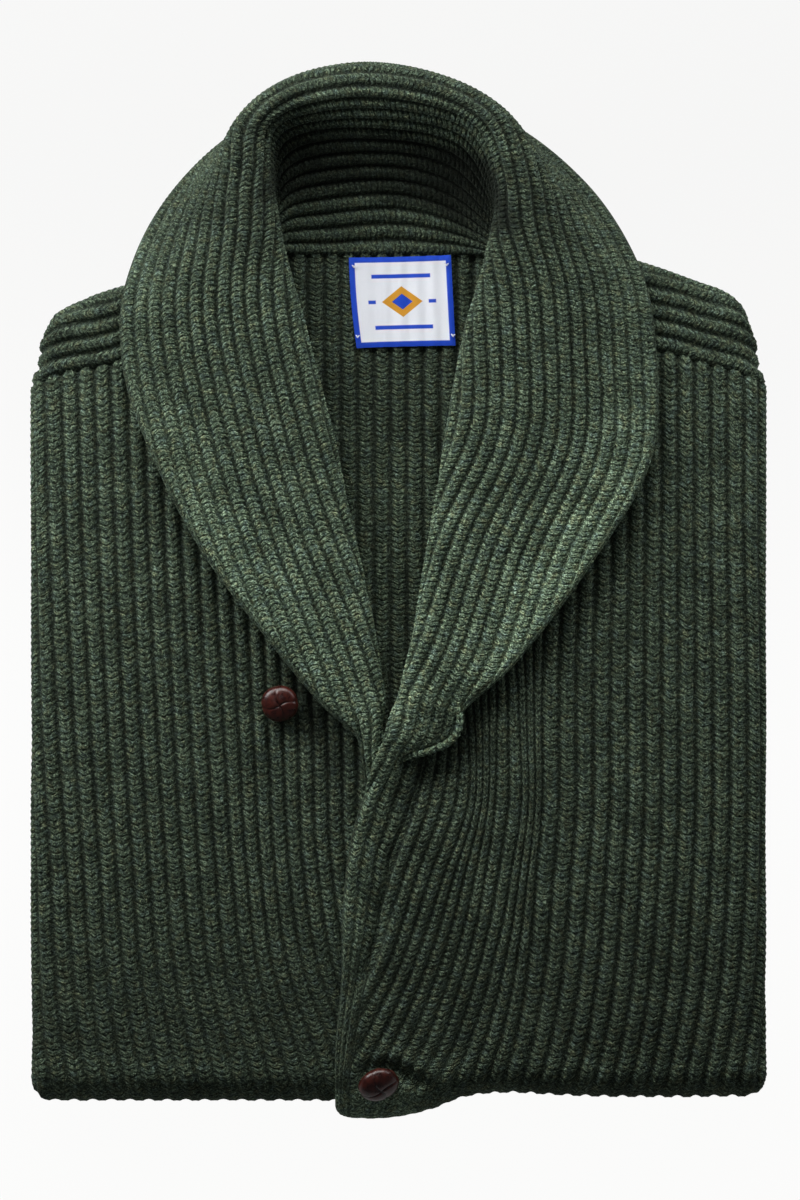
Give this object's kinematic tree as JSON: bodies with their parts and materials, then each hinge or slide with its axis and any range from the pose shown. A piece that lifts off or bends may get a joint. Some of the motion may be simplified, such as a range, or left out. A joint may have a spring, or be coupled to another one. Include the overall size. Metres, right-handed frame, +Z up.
{
  "type": "shawl collar cardigan",
  "caption": "Chunky ribbed wool cardigan with a wide shawl collar and leather buttons, folded flat with its sleeves and lower body behind it.",
  "frame": {"origin": "on the surface the cardigan lies on, under the middle of its folded outline", "axes": "+Z up out of the face that shows, +Y towards the neck, +X towards the wearer's left"},
  "size_m": [0.4057, 0.5821, 0.0712],
  "materials": {
    "wool_fronts": "dark green marled wool, chunky rib knit",
    "wool_yokes": "dark green marled wool, ribs across",
    "wool_collar": "dark green marled wool, chunky rib knit",
    "wool_inside": "inside of the dark green rib knit",
    "button_leather": "glossy dark brown leather",
    "label_weave": "woven satin, white with a blue border"
  },
  "bodies": {
    "root": {"front_left": "wool_fronts", "front_right": "wool_fronts", "yoke_left": "wool_yokes", "yoke_right": "wool_yokes", "back_panel": "wool_inside", "shawl_collar": "wool_collar", "folded_layers": "wool_fronts", "button_top": "button_leather", "button_low": "button_leather", "label": "label_weave"}
  },
  "joints": []
}
